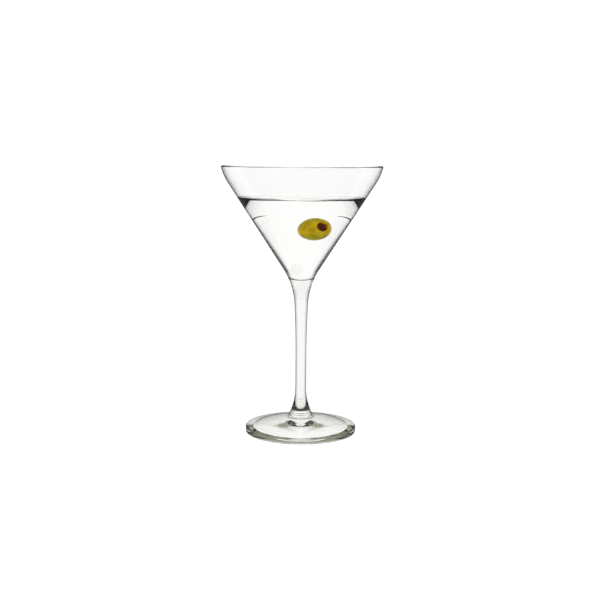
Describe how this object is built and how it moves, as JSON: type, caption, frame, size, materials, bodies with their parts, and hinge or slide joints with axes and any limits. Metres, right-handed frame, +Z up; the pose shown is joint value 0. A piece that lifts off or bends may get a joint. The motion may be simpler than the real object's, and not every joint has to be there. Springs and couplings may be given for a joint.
{
  "type": "martini glass",
  "caption": "Stemmed cocktail glass with a cone bowl, filled with a clear drink that holds a stuffed green olive; the olive lifts out past the rim.",
  "frame": {"origin": "centre of the plane that the foot rests on", "axes": "+Z up along the axis of the glass, +X to the right and -Y to the front as it is looked at"},
  "size_m": [0.1046, 0.1046, 0.175],
  "materials": {
    "clear_glass": "polished",
    "clear_drink": "gloss",
    "olive_flesh": "satin",
    "pimento": "satin"
  },
  "bodies": {
    "glass": {"bowl": "clear_glass", "stem": "clear_glass", "foot": "clear_glass", "drink": "clear_drink"},
    "garnish": {"olive": "olive_flesh", "pimento": "pimento"}
  },
  "joints": [
    {"name": "olive_lift", "type": "slide", "parent": "glass", "child": "garnish", "axis": [0, 0, 1], "range_m": [0, 0.05], "deforming": ["drink"]}
  ]
}
